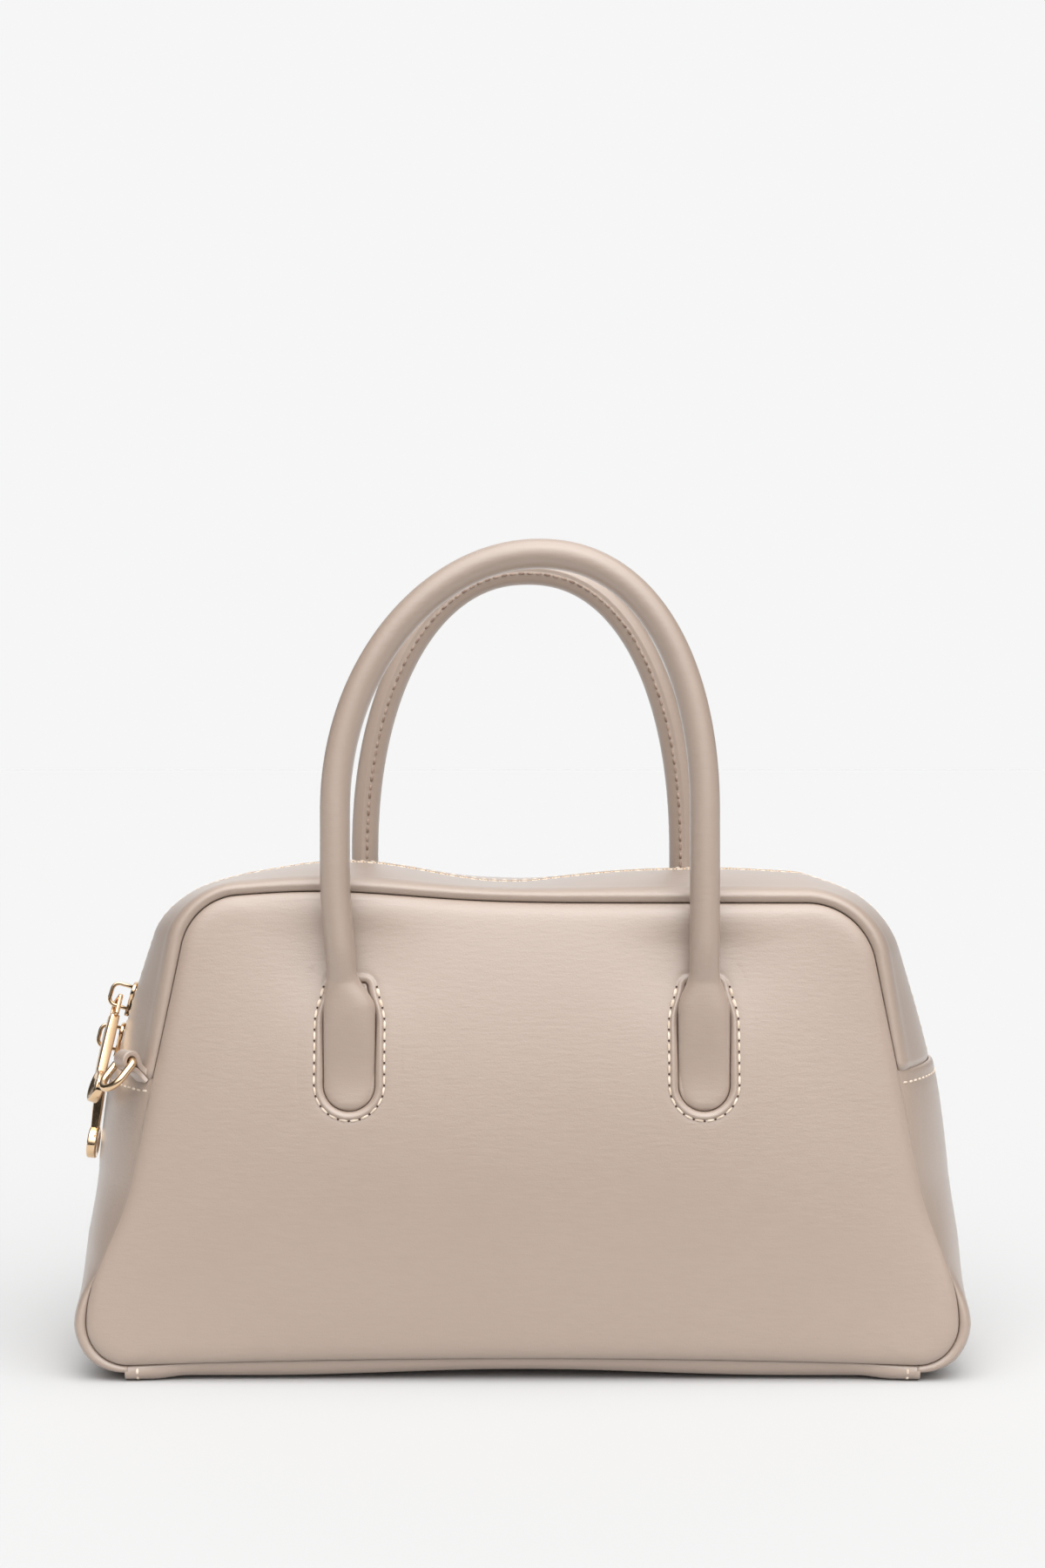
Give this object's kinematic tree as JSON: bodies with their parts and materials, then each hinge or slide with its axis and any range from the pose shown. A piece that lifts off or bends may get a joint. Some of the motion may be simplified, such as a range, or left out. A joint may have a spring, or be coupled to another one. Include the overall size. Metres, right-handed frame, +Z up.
{
  "type": "box bag",
  "caption": "Soft leather box bag with a zip over the rounded top, rolled handles set into windows of the panels, and gold zip pulls and a D-ring at the left end.",
  "frame": {"origin": "on the floor under the middle of the bag", "axes": "+X to the right of the front panel, +Y from the front panel to the back panel, +Z up"},
  "size_m": [0.3273, 0.1282, 0.3013],
  "materials": {
    "leather": "smooth, softly shining, dyed pale taupe",
    "gold_metal": "polished pale gold plating",
    "zip_tape": "woven, matt, dyed to match the leather"
  },
  "bodies": {
    "bag": {"front_panel": "leather", "back_panel": "leather", "zip_strip_front": "leather", "zip_strip_back": "leather", "side_panel_left": "leather", "side_panel_right": "leather", "base_panel": "leather", "front_handle": "leather", "back_handle": "leather", "ring_loop": "leather", "zip_chain": "gold_metal", "upper_slider": "gold_metal", "lower_slider": "gold_metal", "zip_tape": "zip_tape"},
    "upper_pull": {"upper_pull": "gold_metal"},
    "lower_pull": {"lower_pull": "gold_metal"},
    "d_ring": {"d_ring": "gold_metal"}
  },
  "joints": [
    {"name": "upper_pull_hinge", "type": "hinge", "parent": "bag", "child": "upper_pull", "pos_m": [-0.15213, 0, 0.13125], "axis": [-0.4506, 0.7368, -0.5041], "range_deg": [0, 110]},
    {"name": "lower_pull_hinge", "type": "hinge", "parent": "bag", "child": "lower_pull", "pos_m": [-0.15672, 0, 0.11562], "axis": [-0.0089, 0.9994, -0.0338], "range_deg": [0, 110]},
    {"name": "ring_hinge", "type": "hinge", "parent": "bag", "child": "d_ring", "pos_m": [-0.1419, -0.0488, 0.1135], "axis": [-0.5878, 0.809, 0], "range_deg": [0, 110]}
  ]
}
